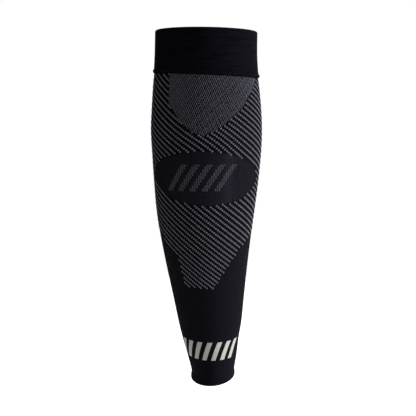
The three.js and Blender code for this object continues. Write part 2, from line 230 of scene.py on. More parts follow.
def in_oval(turn, down):
    """True in the oval, whose middle line droops towards +X."""
    across = np.abs(angle_of(turn) - OVAL_ANGLE) / OVAL_HALF_ANGLE
    half = (1 - np.clip(across, 0, 1) ** OVAL_FULLNESS) ** (1 / OVAL_FULLNESS)
    middle = oval_centre + OVAL_DROOP / 2 * to_the_side(turn)
    return (across < 1) & (np.abs(down - middle) < half * oval_height / 2)


def ribs_end(turn):
    """How far down the ribs reach: to one level at the back, and to the shield's edge."""
    across = angle_of(turn) / SHIELD_HALF_ANGLE
    return ribs_end_back + SHIELD_HEIGHT * np.interp(across, SHIELD_EDGE[:, 0], SHIELD_EDGE[:, 1])


def in_ribs(turn, down):
    """True where ribs are knitted: not in a panel, and above the shield's edge."""
    inside = (down > body_top(turn)) & (down < ribs_end(turn))
    return inside & ~in_vent(turn, down) & ~in_oval(turn, down)


print(f"the ribs end {ribs_end_back:.1f} mm down at the back, {ribs_end(FRONT):.1f} at the front")


# %% [markdown]
# ## The ribs' rule
# The ribs run down towards +X, 37 of them round the arm. They are counted in pitches: down the
# arm, less round the arm, and a whole number is the crest of a rib. The stretched fabric pulls
# the rule about a little. The ribs crowd at the foot, bunch beside the front, sway from one side
# to the other below the oval, and heave up between the two panels.

# %% The ribs' rule
RIBS_AROUND = 37
RIB_PITCH = 4.95
RIB_CROWDING = 0.026
RIB_CROWDING_POWER = 8
RIB_BUNCHING = 9.0
RIB_BUNCH_ANGLE = -7.0
RIB_SWAY = 0.156
RIB_HEAVE = 0.45
RIB_HEAVE_ANGLE = 5.0
RIB_HEAVE_SPREAD = 28.0
RIB_HEAVE_HEIGHT = 16.0
RIB_START = 0.357
CREST_TABLE_ROWS = 3000
between_panels = (vent_point + oval_centre - oval_height / 2) / 2


def ribs_pulled(turn, down):
    """How many pitches the stretched fabric moves the ribs by at a place."""
    angle = angle_of(turn)
    sway = to_the_side(turn) * (down - oval_centre) / oval_height
    aside = (angle - RIB_HEAVE_ANGLE) / RIB_HEAVE_SPREAD
    below = (down - between_panels) / RIB_HEAVE_HEIGHT
    return RIB_SWAY * sway + RIB_HEAVE * np.exp(-aside ** 2 - below ** 2)


def ribs_at(turn, down):
    """The count of ribs at a place. It grows by one from each crest to the next below."""
    crowded = 1 + RIB_CROWDING * (down / ribs_foot) ** RIB_CROWDING_POWER
    bunched = np.sin(2 * np.radians(angle_of(turn) - RIB_BUNCH_ANGLE)) / (4 * math.pi)
    passed = RIBS_AROUND * turn + RIB_BUNCHING * bunched + RIB_START
    return down / RIB_PITCH * crowded + ribs_pulled(turn, down) - passed


def crests_down(turn):
    """Where the crests lie on one line down the arm, read off a fine table."""
    table = np.linspace(0, ribs_foot, CREST_TABLE_ROWS)
    counted = ribs_at(turn, table)
    ribs = np.arange(math.ceil(counted[0]), math.floor(counted[-1]) + 1)
    return np.interp(ribs, counted, table)


print("crests down the front:", len(crests_down(FRONT)))

# %% [markdown]
# ## Colours and nodes
# Colours are written as a screen shows them and turned to the linear values that the renderer
# counts in. One function adds a node with its settings and its links, for shaders and for
# Geometry Nodes alike. All that is made in Python has to be linked to the scene to be seen.


# %% Helpers for colours and nodes
def linear(colour):
    """An sRGB hex colour as linear red, green, blue and alpha, by that standard's curve."""
    parts = [int(colour[i:i + 2], 16) / 255 for i in (1, 3, 5)]
    return (*[c / 12.92 if c <= 0.04045 else ((c + 0.055) / 1.055) ** 2.4 for c in parts], 1)


def node(tree, kind, sockets=None, **settings):
    """Adds a node. A socket is named or numbered, and gets a value or a link."""
    made = tree.nodes.new(kind)
    for name, value in settings.items():
        setattr(made, name, value)
    for name, value in (sockets or {}).items():
        if isinstance(value, bpy.types.NodeSocket):
            tree.links.new(value, made.inputs[name])
        else:
            made.inputs[name].default_value = value
    return made


def put_in_scene(name, data):
    """An object made of this data, linked to the scene."""
    made = bpy.data.objects.new(name, data)
    bpy.context.collection.objects.link(made)
    return made


def fresh_material(name):
    made = bpy.data.materials.new(name)
    made.use_nodes = True
    made.node_tree.nodes.clear()
    return made, made.node_tree


print("mid grey on a screen is", round(linear("#808080")[0], 3), "in linear light")


# %% [markdown]
# ## Plain knit
# The sleeve is dyed nylon over elastane, knitted in stocking stitch: columns of small V shapes.
# Nylon filament is smooth, but a knit of it is full of shadowed gaps, so it looks almost matt.
# The V shapes follow the knitting chart, stored as a UV map, and are drawn from sines and
# fractions: across is counted in needles and down in courses. The real stitches are 0.7 mm
# wide, and here they are more than twice that, because nothing finer shows in the picture. A
# mesh of single stitches would need about a million faces, for a black surface on which they
# hardly show, so bump and painted light and shade draw them here: the colour runs from a
# shadow colour in the gaps to a lit colour on the legs. The tension varies from needle to
# needle, which shows as faint streaks, and each zone has its own shade, stored on the mesh:
# painted shade between the ribs and in the net, lighter where the knit is dense, and a
# painted sheen on the oval.

# %% The plain knit's material
NEEDLES = 164
COURSE_HEIGHT = 1.05
# the courses that a leg of a stitch would climb over a whole needle
LEG_SLANT = 1.1
# turns the 0 to 0.5 beside a needle's middle into -1 to 1 across a leg
LEG_SPREAD = 4.0
LEG_START = -1.0
STREAK_DETAIL = 2.0
KNIT_ROUGHNESS = 0.95
KNIT_SPECULAR = 0.02
CHART = "chart"
SHADE = "shade"
courses = sleeve_length / COURSE_HEIGHT
widest_round = math.pi * widest_width


def knit_material(name, shadow, lit, bump_mm, streak_mm, contrast):
    """Stocking stitch: two legs lean towards each other in every needle's column."""
    streak_width, streak_height = streak_mm
    streaks = (round(widest_round / streak_width), round(sleeve_length / streak_height), 0)
    made, tree = fresh_material(name)
    chart = node(tree, "ShaderNodeUVMap", uv_map=CHART)
    split = node(tree, "ShaderNodeSeparateXYZ", {0: chart.outputs[0]})
    column = node(tree, "ShaderNodeMath", {0: split.outputs[0], 1: NEEDLES}, operation="MULTIPLY")
    part = node(tree, "ShaderNodeMath", {0: column.outputs[0]}, operation="FRACT")
    centred = node(tree, "ShaderNodeMath", {0: part.outputs[0], 1: 0.5}, operation="SUBTRACT")
    aside = node(tree, "ShaderNodeMath", {0: centred.outputs[0]}, operation="ABSOLUTE")
    row = node(tree, "ShaderNodeMath", {0: split.outputs[1], 1: courses}, operation="MULTIPLY")
    slant = node(
        tree, "ShaderNodeMath", {0: aside.outputs[0], 1: LEG_SLANT, 2: row.outputs[0]},
        operation="MULTIPLY_ADD",
    )
    turned = node(
        tree, "ShaderNodeMath", {0: slant.outputs[0], 1: 2 * math.pi}, operation="MULTIPLY"
    )
    wave = node(tree, "ShaderNodeMath", {0: turned.outputs[0]}, operation="COSINE")
    crest = node(
        tree, "ShaderNodeMath", {0: wave.outputs[0], 1: 0.5, 2: 0.5}, operation="MULTIPLY_ADD"
    )
    leg = node(
        tree, "ShaderNodeMath", {0: aside.outputs[0], 1: LEG_SPREAD, 2: LEG_START},
        operation="MULTIPLY_ADD",
    )
    leg_square = node(
        tree, "ShaderNodeMath", {0: leg.outputs[0], 1: leg.outputs[0]}, operation="MULTIPLY"
    )
    rounded = node(
        tree, "ShaderNodeMath", {0: 1.0, 1: leg_square.outputs[0]}, operation="SUBTRACT"
    )
    height = node(
        tree, "ShaderNodeMath", {0: crest.outputs[0], 1: rounded.outputs[0]}, operation="MULTIPLY"
    )
    drawn = node(
        tree, "ShaderNodeVectorMath", {0: chart.outputs[0], 1: streaks}, operation="MULTIPLY"
    )
    cloud = node(
        tree, "ShaderNodeTexNoise",
        {"Vector": drawn.outputs[0], "Scale": 1.0, "Detail": STREAK_DETAIL},
    )
    shade = node(
        tree, "ShaderNodeMath", {0: cloud.outputs["Fac"], 1: contrast, 2: 1 - contrast / 2},
        operation="MULTIPLY_ADD",
    )
    share = node(
        tree, "ShaderNodeMath", {0: height.outputs[0], 1: shade.outputs[0]}, operation="MULTIPLY"
    )
    # painted light and shade: a shadow colour in the stitch's gaps and a lit colour on its legs,
    # mixed by its height
    stitch_light_and_shade = node(
        tree, "ShaderNodeMix",
        {"Factor": share.outputs[0], "A": linear(shadow), "B": linear(lit)}, data_type="RGBA",
    )
    # the mesh's shade factor: painted shade between the ribs and in the net, and the oval's painted
    # sheen
    zone = node(tree, "ShaderNodeAttribute", attribute_name=SHADE)
    colour = node(
        tree, "ShaderNodeVectorMath", {0: stitch_light_and_shade.outputs["Result"], "Scale": zone.outputs["Fac"]},
        operation="SCALE",
    )
    bump = node(
        tree, "ShaderNodeBump",
        {"Strength": 1.0, "Distance": bump_mm * MM, "Height": height.outputs[0]},
    )
    cloth = node(tree, "ShaderNodeBsdfPrincipled", {
        "Base Color": colour.outputs[0], "Roughness": KNIT_ROUGHNESS,
        "Specular IOR Level": KNIT_SPECULAR, "Normal": bump.outputs[0],
    })
    node(tree, "ShaderNodeOutputMaterial", {0: cloth.outputs[0]})
    return made


# the body's streaks are fine and run down, and those of the cuff are broad bands that run round
body_knit = knit_material(
    "knitted_nylon_body", shadow="#08070b", lit="#131218", bump_mm=0.25, streak_mm=(2.5, 22),
    contrast=1.6,
)
cuff_knit = knit_material(
    "knitted_nylon_cuff", shadow="#030206", lit="#0d0c12", bump_mm=0.2, streak_mm=(19, 3.4),
    contrast=3.6,
)
print("knit:", NEEDLES, "needles,", round(courses), "courses")

# %% [markdown]
# ## Lofting a tube
# Cuff, body and hem are all loops of points swept round the arm. The loop goes up the outside
# and comes down the inside, so the swept mesh is closed and its faces point out. A cylinder
# could be pushed into this form by hand, but a sweep puts every point where the chart says. The
# chart is written as a UV map while the faces are made.

# %% The loft
COLUMNS = 200
turns = np.arange(COLUMNS) / COLUMNS


def charted_mesh(name, points, quads, chart):
    """A smooth mesh of quads, with the place on the chart of each corner of each quad."""
    mesh = bpy.data.meshes.new(name)
    mesh.from_pydata(points.reshape(-1, 3).tolist(), [], quads.reshape(-1, 4).tolist())
    layer = mesh.uv_layers.new(name=CHART)
    layer.data.foreach_set("uv", chart.astype(np.float32).ravel())
    mesh.polygons.foreach_set("use_smooth", np.ones(len(mesh.polygons), bool))
    return mesh


def loft(name, downs, offsets, material, shades=1.0):
    """A closed tube. downs and offsets are millimetres for each column and loop point."""
    count, size = downs.shape
    points = on_sleeve(turns[:, None], downs, offsets)
    corner = np.arange(count * size).reshape(count, size)
    right = np.roll(corner, -1, axis=0)
    quads = np.stack([corner, right, np.roll(right, -1, axis=1), np.roll(corner, -1, axis=1)], -1)
    here = np.repeat(turns[:, None], size, axis=1)
    there = here + 1 / count
    across = np.stack([here, there, there, here], -1)
    share = downs / sleeve_length
    beside = np.roll(share, -1, axis=0)
    down = np.stack([share, beside, np.roll(beside, -1, axis=1), np.roll(share, -1, axis=1)], -1)
    mesh = charted_mesh(name, points, quads, np.stack([across, down], -1))
    shade = np.broadcast_to(shades, downs.shape).astype(np.float32)
    mesh.attributes.new(SHADE, "FLOAT", "POINT").data.foreach_set("value", shade.ravel())
    mesh.materials.append(material)
    mesh.update()
    return put_in_scene(name, mesh)


def blurred(field, times):
    """Softens the step at a zone's edge. A place counts twice, and its four neighbours once."""
    for _ in range(times):
        beside = np.roll(field, 1, axis=0) + np.roll(field, -1, axis=0)
        above = np.hstack([field[:, 1:], field[:, -1:]])
        below = np.hstack([field[:, :1], field[:, :-1]])
        field = (2 * field + beside + (above + below)) / 6
    return field


print("columns round the arm:", COLUMNS)


# %% [markdown]
# ## The body fabric
# One black fabric runs from the cuff to the hem. The zones change its relief: it stands in
# soft ridges under the ribs, lies lower in the net, and is thickest where it is plain.

# %% The body fabric
BODY_ROWS = 330
SKIN_ROWS = 36
RIDGE_RISE = 0.3
STITCH_RISE = 0.3
NET_SINK = 0.3
PLAIN_RISE = 0.3
EDGE_GAP = 0.1
# painted shade: the ground between the ribs and under the net is darkened to this share, as if it
# lay in shadow
PAINTED_GROUND_SHADE = 0.5
DENSE_SHADE = 1.6
# the oval has a painted sheen, an upright painted highlight, and painted shade that darkens it
# towards both its ends
SHEEN = 0.85
SHEEN_ANGLE = 23.5
SHEEN_SPREAD = 6.0
OVAL_FADE = 0.6
OVAL_FADE_POWER = 3


def body_downs(count):
    """Rows from the hem's top up to the cuff's edge, for every column."""
    share = np.linspace(0, 1, count)[None, :]
    bottom = hem_top(turns)[:, None] - EDGE_GAP
    return bottom + (body_top(turns)[:, None] + EDGE_GAP - bottom) * share


def body_relief(downs):
    across = np.repeat(turns[:, None], downs.shape[1], axis=1)
    ribbed = blurred(in_ribs(across, downs).astype(float), 2)
    netted = blurred(in_vent(across, downs).astype(float), 2)
    ridge = RIDGE_RISE * (0.5 + 0.5 * np.cos(2 * math.pi * ribs_at(across, downs)))
    return ridge * ribbed - NET_SINK * netted + PLAIN_RISE * (1 - ribbed - netted)


def body_shade(downs):
    across = np.repeat(turns[:, None], downs.shape[1], axis=1)
    # painted shade on the ground between the ribs and in the net
    shaded_ground = blurred((in_ribs(across, downs) | in_vent(across, downs)).astype(float), 2)
    dense = blurred(in_oval(across, downs).astype(float), 1)
    # a painted highlight, upright on the oval, and painted shade towards its ends
    sheen = SHEEN * np.exp(-((angle_of(across) - SHEEN_ANGLE) / SHEEN_SPREAD) ** 2)
    aside = np.abs(angle_of(across) - OVAL_ANGLE) / OVAL_HALF_ANGLE
    fade = OVAL_FADE * aside ** OVAL_FADE_POWER
    return 1 + (PAINTED_GROUND_SHADE - 1) * shaded_ground + (DENSE_SHADE - 1 + sheen - fade) * dense


outer_downs = body_downs(BODY_ROWS)
skin_downs = body_downs(SKIN_ROWS)[:, ::-1]
body = loft(
    "body_fabric",
    np.hstack([outer_downs, skin_downs]),
    np.hstack([body_relief(outer_downs), np.full_like(skin_downs, -KNIT_WALL)]),
    body_knit,
    np.hstack([body_shade(outer_downs), np.ones_like(skin_downs)]),
)
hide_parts("rib_zone", "vent_panel", "oval_panel", "lower_sleeve")
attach(body, "root")
print("body fabric:", len(body.data.polygons), "faces")

# %% [markdown]
# ## The cuff
# The cuff is knitted to double height and turned in, so its top is a soft fold and its wall is
# twice as thick. Where it is joined again its lower edge rolls out a little.

# %% The cuff
CUFF_ROWS = 40
FOLD_POINTS = 11
ROLL_POINTS = 13
# where the roll's lowest point lies under its middle, as a share of its half height
ROLL_START = 0.9


def arc(start, stop, count):
    return np.radians(np.linspace(start, stop, count))


def cuff_loops():
    edge = cuff_edge(turns)[:, None]
    outside = CUFF_WALL - KNIT_WALL
    fold = CUFF_WALL / 2
    roll = CUFF_ROLL_HEIGHT / 2
    fold_arc = arc(0, 180, FOLD_POINTS)
    swell = np.linspace(ROLL_START, -1, ROLL_POINTS)[None, :]
    roll_top = edge - CUFF_ROLL_HEIGHT
    share = np.linspace(0, 1, CUFF_ROWS)[None, 1:-1]
    top = fold_edge(turns)[:, None]
    wall = roll_top + (top + fold - roll_top) * share
    level = np.zeros_like(edge)
    tuck = edge - CUFF_TUCK
    inner = tuck + (top + fold - tuck) * share
    downs = np.hstack([
        tuck, edge - roll + roll * swell, wall,
        top + fold * (1 - np.sin(fold_arc))[None, :], inner[:, ::-1], tuck,
    ])
    offsets = np.hstack([
        level + RIDGE_RISE + STITCH_RISE,
        outside + CUFF_ROLL_RISE * np.cos(swell * math.pi / 2) ** 2 + level,
        np.full_like(wall, outside),
        (outside - KNIT_WALL) / 2 + fold * np.cos(fold_arc)[None, :] + level,
        np.full_like(wall, -KNIT_WALL), level - KNIT_WALL,
    ])
    return downs, offsets


cuff = loft("cuff_fabric", *cuff_loops(), cuff_knit)
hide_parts("top_cuff")
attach(cuff, "root")
print("cuff:", len(cuff.data.polygons), "faces")

# %% [markdown]
# ## The hem
# The last courses roll outwards over themselves, as the edge of a plain knit does.

# %% The hem
HEM_ROWS = 8


def hem_loops():
    edge, top = hem_edge(turns)[:, None], hem_top(turns)[:, None]
    outside = HEM_WALL - KNIT_WALL
    roll = HEM_WALL / 2
    middle = edge - roll
    turn_arc = arc(-180, 0, ROLL_POINTS)
    share = np.linspace(0, 1, HEM_ROWS)[None, 1:]
    ease = share * share * (3 - 2 * share)
    wall = middle + (top - middle) * share
    level = np.zeros_like(edge)
    downs = np.hstack([middle - roll * np.sin(turn_arc)[None, :], wall, wall[:, ::-1]])
    offsets = np.hstack([
        (outside - KNIT_WALL) / 2 + HEM_FLARE + roll * np.cos(turn_arc)[None, :] + level,
        PLAIN_RISE + (outside + HEM_FLARE - PLAIN_RISE) * (1 - ease) + level,
        (HEM_FLARE * (1 - ease) - KNIT_WALL + level)[:, ::-1],
    ])
    return downs, offsets


hem = loft("hem_fabric", *hem_loops(), body_knit)
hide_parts("wrist_hem")
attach(hem, "root")
print("hem:", len(hem.data.polygons), "faces")

# %% [markdown]
# ## Knitting by chart
# Ribs, net and motif are made of thousands of small yarn shapes. A chart gives each a place,
# a lean and a stretch, and one Geometry Nodes tree looks that place up on the fabric through
# the UV map, stands a shape there square to the surface, and joins them all into one mesh.

# %% The surface that the charts are laid on
LIFT_ROWS = 400
# shapes differ in size by up to this share
UNEVENNESS = 0.06


def chart_surface():
    """The outer face alone, as an open sheet with the chart as its UV map. It is a helper."""
    count = COLUMNS + 1
    across = np.linspace(0, 1, count)[:, None]
    share = np.linspace(0, 1, LIFT_ROWS)[None, :]
    points = on_sleeve(across, share * sleeve_length)
    corner = np.arange(count * LIFT_ROWS).reshape(count, LIFT_ROWS)
    quads = np.stack([corner[:-1, 1:], corner[1:, 1:], corner[1:, :-1], corner[:-1, :-1]], -1)
    grid = np.stack(np.broadcast_arrays(across, share), -1).reshape(-1, 2)
    mesh = charted_mesh("chart_surface", points, quads, grid[quads.reshape(-1)])
    return put_in_scene("chart_surface", mesh)


surface = chart_surface()
print("helper surface:", len(surface.data.polygons), "faces")


# %% The tree
def chart_tree():
    tree = bpy.data.node_groups.new("knit_by_chart", "GeometryNodeTree")
    tree.is_modifier = True
    kinds = {
        "Chart": "Geometry", "Surface": "Object", "Shape": "Object", "Width": "Float",
        "Height": "Float", "Rise": "Float", "Lift": "Float", "Unevenness": "Float",
        "Seed": "Int", "Yarn": "Material",
    }
    for name, kind in kinds.items():
        tree.interface.new_socket(name, in_out="INPUT", socket_type="NodeSocket" + kind)
    tree.interface.new_socket("Knit", in_out="OUTPUT", socket_type="NodeSocketGeometry")
    given = node(tree, "NodeGroupInput").outputs
    fabric = node(tree, "GeometryNodeObjectInfo", {"Object": given["Surface"]}).outputs["Geometry"]
    shape = node(tree, "GeometryNodeObjectInfo", {"Object": given["Shape"]}).outputs["Geometry"]
    spot = node(tree, "GeometryNodeInputNamedAttribute", {"Name": "spot"}, data_type="FLOAT_VECTOR")
    chart = node(
        tree, "GeometryNodeInputNamedAttribute", {"Name": CHART}, data_type="FLOAT_VECTOR"
    )
    kinds_of_field = {"place": "GeometryNodeInputPosition", "normal": "GeometryNodeInputNormal"}
    looked_up = {}
    for name, kind in kinds_of_field.items():
        field = node(tree, kind).outputs[0]
        looked_up[name] = node(tree, "GeometryNodeSampleUVSurface", {
            "Mesh": fabric, "Value": field, "UV Map": chart.outputs[0],
            "Sample UV": spot.outputs[0],
        }, data_type="FLOAT_VECTOR").outputs[0]
    lift = node(
        tree, "ShaderNodeVectorMath", {0: looked_up["normal"], "Scale": given["Lift"]},
        operation="SCALE",
    )
    lifted = node(
        tree, "ShaderNodeVectorMath", {0: looked_up["place"], 1: lift.outputs[0]}, operation="ADD"
    )
    placed = node(
        tree, "GeometryNodeSetPosition", {"Geometry": given["Chart"], "Position": lifted.outputs[0]}
    )
    upright = node(
        tree, "FunctionNodeAlignRotationToVector", {"Vector": looked_up["normal"]}, axis="Z"
    )
    along = node(
        tree, "FunctionNodeAlignRotationToVector",
        {"Rotation": upright.outputs[0], "Vector": (0.0, 0.0, 1.0)}, axis="Y", pivot_axis="Z",
    )
    lean = node(tree, "GeometryNodeInputNamedAttribute", {"Name": "lean"}, data_type="FLOAT")
    swing = node(
        tree, "FunctionNodeAxisAngleToRotation", {"Axis": (0.0, 0.0, 1.0), "Angle": lean.outputs[0]}
    )
    leaned = node(
        tree, "FunctionNodeRotateRotation", {0: along.outputs[0], 1: swing.outputs[0]},
        rotation_space="LOCAL",
    )
    size = node(
        tree, "ShaderNodeCombineXYZ", {0: given["Width"], 1: given["Height"], 2: given["Rise"]}
    )
    stretch = node(
        tree, "GeometryNodeInputNamedAttribute", {"Name": "stretch"}, data_type="FLOAT_VECTOR"
    )
    stretched = node(
        tree, "ShaderNodeVectorMath", {0: size.outputs[0], 1: stretch.outputs[0]},
        operation="MULTIPLY",
    )
    least = node(
        tree, "ShaderNodeMath", {0: 1.0, 1: given["Unevenness"]}, operation="SUBTRACT"
    )
    most = node(tree, "ShaderNodeMath", {0: 1.0, 1: given["Unevenness"]}, operation="ADD")
    luck = node(
        tree, "FunctionNodeRandomValue",
        {"Min": least.outputs[0], "Max": most.outputs[0], "Seed": given["Seed"]}, data_type="FLOAT",
    )
    varied = node(
        tree, "ShaderNodeVectorMath", {0: stretched.outputs[0], "Scale": luck.outputs[1]},
        operation="SCALE",
    )
    stood = node(tree, "GeometryNodeInstanceOnPoints", {
        "Points": placed.outputs[0], "Instance": shape, "Rotation": leaned.outputs[0],
        "Scale": varied.outputs[0],
    })
    joined = node(tree, "GeometryNodeRealizeInstances", {0: stood.outputs[0]})
    smooth = node(tree, "GeometryNodeSetShadeSmooth", {0: joined.outputs[0]})
    dyed = node(
        tree, "GeometryNodeSetMaterial", {"Geometry": smooth.outputs[0], "Material": given["Yarn"]}
    )
    node(tree, "NodeGroupOutput", {0: dyed.outputs[0]})
    return tree


knit_by_chart = chart_tree()


def knit_chart(name, spots, leans, stretches, shape, size_mm, lift_mm, uneven, seed, yarn):
    """Runs the tree on a chart and keeps its result as a plain mesh."""
    mesh = bpy.data.meshes.new(name + "_chart")
    flat = np.column_stack([spots, np.zeros(len(spots))]).astype(np.float32)
    mesh.from_pydata(flat.tolist(), [], [])
    spot_layer = mesh.attributes.new("spot", "FLOAT_VECTOR", "POINT")
    spot_layer.data.foreach_set("vector", flat.ravel())
    lean_layer = mesh.attributes.new("lean", "FLOAT", "POINT")
    lean_layer.data.foreach_set("value", leans.astype(np.float32))
    wide = np.column_stack([stretches, np.ones(len(spots))]).astype(np.float32)
    stretch_layer = mesh.attributes.new("stretch", "FLOAT_VECTOR", "POINT")
    stretch_layer.data.foreach_set("vector", wide.ravel())
    charted = put_in_scene(name + "_chart", mesh)
    modifier = charted.modifiers.new("knit", "NODES")
    modifier.node_group = knit_by_chart
    width, height, rise = size_mm
    values = {
        "Surface": surface, "Shape": shape, "Width": width * MM, "Height": height * MM,
        "Rise": rise * MM, "Lift": lift_mm * MM, "Unevenness": uneven, "Seed": seed, "Yarn": yarn,
    }
    for item in knit_by_chart.interface.items_tree:
        if item.name in values:
            modifier[item.identifier] = values[item.name]
    ready = charted.evaluated_get(bpy.context.evaluated_depsgraph_get())
    knitted = bpy.data.meshes.new_from_object(ready)
    knitted.name = name
    made = put_in_scene(name, knitted)
    bpy.data.objects.remove(charted)
    print(f"{name}: {len(spots)} shapes, {len(knitted.polygons)} faces")
    return made


# %% [markdown]
# ## Yarn shapes
# A stitch is a V of two plump legs, and a net strand is one of those legs. Each has only a few
# faces, because it is repeated thousands of times.

# %% Yarn shapes, one unit wide, high and thick
# rings along a leg: share of its height, width and rise
STITCH_RINGS = ((0.0, 0.7, 0.35), (0.5, 1.0, 1.0), (1.0, 0.7, 0.35))
STRAND_RINGS = ((0.0, 1.3, 0.8), (0.3, 1.0, 1.0), (0.7, 1.0, 1.0), (1.0, 1.3, 0.8))
CORNERS = 4
# where a leg's bottom and its top lie across, and its thickness
STITCH_LEGS = ((-0.1, -0.2, 0.4), (0.1, 0.2, 0.4))
STRAND_LEGS = ((0.0, 0.0, 1.0),)


def yarn_shape(name, legs, rings):
    """One closed rod for each leg, with a flat underside."""
    points, faces = [], []
    for bottom, top, thick in legs:
        first = len(points)
        for share, width, rise in rings:
            x, y = bottom + (top - bottom) * share, share - 0.5
            half = thick * width / 2
            points += [(x - half, y, 0), (x + half, y, 0)]
            points += [(x + half / 2, y, rise), (x - half / 2, y, rise)]
        for ring in range(first, len(points) - CORNERS, CORNERS):
            for side in range(CORNERS):
                a, b = ring + side, ring + (side + 1) % CORNERS
                faces.append((b, a, a + CORNERS, b + CORNERS))
        faces.append(tuple(range(first, first + CORNERS)))
        faces.append(tuple(range(len(points) - 1, len(points) - 1 - CORNERS, -1)))
    mesh = bpy.data.meshes.new(name)
    mesh.from_pydata(points, [], faces)
    return put_in_scene(name, mesh)


stitch_shape = yarn_shape("stitch_shape", STITCH_LEGS, STITCH_RINGS)
strand_shape = yarn_shape("strand_shape", STRAND_LEGS, STRAND_RINGS)
print("a stitch has", len(stitch_shape.data.polygons), "faces")

# %% [markdown]
# ## Grey yarn
# The grey is a textured nylon yarn: many crimped filaments, matt, with a cast of violet. Its
# colour varies a little along the thread. The crimps are finer than a pixel, so a noise of about
# a millimetre stands for them. The print's film will use the same function with a finer grain.

# %% The grey yarns
GRAIN_BUMP_MM = 0.1


def grained_material(name, dark, light, roughness, specular, grains_a_mm=0.9, detail=2.0, bump=0.6):
    """Two colours mixed by a fine grain, which also stands out a little as bump."""
    made, tree = fresh_material(name)
    place = node(tree, "ShaderNodeTexCoord")
    fibres = node(
        tree, "ShaderNodeTexNoise",
        {"Vector": place.outputs["Object"], "Scale": grains_a_mm / MM, "Detail": detail},
    )
    colour = node(
        tree, "ShaderNodeMix",
        {"Factor": fibres.outputs["Fac"], "A": linear(dark), "B": linear(light)}, data_type="RGBA",
    )
    bump = node(
        tree, "ShaderNodeBump",
        {"Strength": bump, "Distance": GRAIN_BUMP_MM * MM, "Height": fibres.outputs["Fac"]},
    )
    cloth = node(tree, "ShaderNodeBsdfPrincipled", {
        "Base Color": colour.outputs["Result"], "Roughness": roughness,
        "Specular IOR Level": specular, "Normal": bump.outputs[0],
    })
    node(tree, "ShaderNodeOutputMaterial", {0: cloth.outputs[0]})
    return made


rib_yarn = grained_material(
    "textured_nylon_grey", dark="#424148", light="#585761", roughness=0.9, specular=0.1
)
net_yarn = grained_material(
    "textured_nylon_slate", dark="#3c3c44", light="#52525b", roughness=0.9, specular=0.05
)
motif_yarn = grained_material(
    "textured_nylon_dusk", dark="#2c2b31", light="#3b3a41", roughness=0.9, specular=0.05
)

# %% [markdown]
# ## The ribs
# Each rib is one long slipped stitch in every needle's column, so seen square it reads as a row
# of dots and seen aslant as a line.

# %% The ribs
RIB_SHARE = 0.31
RIB_BREADTH = 1.4
TOP_MARGIN = 2.2


def local_needle(down):
    """A needle's column in millimetres at this height, as a share of the widest."""
    share = down / sleeve_length
    width, depth = section_value(1, share) * widest_width, section_value(2, share) * widest_depth
    return math.pi * (width + depth) / 2 / NEEDLES


needle_turns = (np.arange(NEEDLES) + 0.5) / NEEDLES
crests = [crests_down(turn) for turn in needle_turns]
rib_turns = np.repeat(needle_turns, [len(downs) for downs in crests])
rib_downs = np.concatenate(crests)
below_cuff = rib_downs > body_top(rib_turns) + TOP_MARGIN
knitted_here = in_ribs(rib_turns, rib_downs) & below_cuff
rib_turns, rib_downs = rib_turns[knitted_here], rib_downs[knitted_here]

ribs = knit_chart(
    "rib_stitches",
    np.column_stack([rib_turns, rib_downs / sleeve_length]),
    np.zeros(len(rib_turns)),
    np.column_stack([local_needle(rib_downs), np.full(len(rib_downs), RIB_PITCH * RIB_SHARE)]),
    stitch_shape, size_mm=(RIB_BREADTH, 1.0, STITCH_RISE), lift_mm=RIDGE_RISE,
    uneven=UNEVENNESS, seed=3, yarn=rib_yarn,
)
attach(ribs, "root")

# %% [markdown]
# ## The net
# The net panel is a pique: grey strands cross at a steep angle and leave small dark lozenges.
# Each edge of a lozenge is one strand, plumper where it leans to the right. The rows run beside
# the cuff's edge, as all courses do.

# %% The net
LOZENGE_WIDTH = 1.72
LOZENGE_HEIGHT = 3.7
STRAND_WIDTH = 0.34
STRAND_OVERLAP = 1.15
NET_MARGIN = 0.1
STRAND_RISE = 0.35
NET_START = 1.7
MAIN_STRAND = 1.3
# waves of plumpness: millimetres across and down from line to line, and gain
TWILL_LINES = ((8.7, 7.7, 0.14), (4.35, 3.8, 0.27), (-4.2, 9.5, 0.28), (-2.8, 6.3, 0.42))
THINNEST = 0.25


def twill(across, down):
    """Faint lines cross the net both ways, because its knit repeats every few needles."""
    along = across * math.pi * widest_width
    plumper = np.ones(len(across))
    for wide, high, gain in TWILL_LINES:
        plumper += gain * np.cos(2 * math.pi * (along / wide + down / high))
    return np.maximum(plumper, THINNEST)


def net_chart():
    half_turn = LOZENGE_WIDTH / 2 / (math.pi * widest_width)
    first = math.floor(turn_of(VENT_LEFT_ANGLE) / half_turn) - 1
    last = math.ceil(turn_of(VENT_RIGHT_ANGLE) / half_turn) + 1
    columns = np.arange(first, last)
    rows = np.arange(round(vent_height / LOZENGE_HEIGHT * 2))
    column, row = np.meshgrid(columns, rows)
    across = ((column + 0.5) * half_turn).ravel()
    down = cuff_edge(across) + NET_START + row.ravel() * LOZENGE_HEIGHT / 2
    steepness = math.atan2(LOZENGE_WIDTH, LOZENGE_HEIGHT)
    leans = np.where((column + row) % 2 == 0, 1, -1).ravel() * steepness
    kept = in_vent(across, down, NET_MARGIN)
    spots = np.column_stack([across, down / sleeve_length])
    plump = np.where(leans < 0, MAIN_STRAND, 2 - MAIN_STRAND) * twill(across, down)
    return spots[kept], leans[kept], np.column_stack([plump, np.ones(len(plump))])[kept]


net_spots, net_leans, net_stretches = net_chart()
strand_length = math.hypot(LOZENGE_WIDTH, LOZENGE_HEIGHT) / 2 * STRAND_OVERLAP
net = knit_chart(
    "net_strands", net_spots, net_leans, net_stretches, strand_shape,
    size_mm=(STRAND_WIDTH, strand_length, STRAND_RISE), lift_mm=-NET_SINK,
    uneven=UNEVENNESS, seed=5, yarn=net_yarn,
)
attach(net, "root")

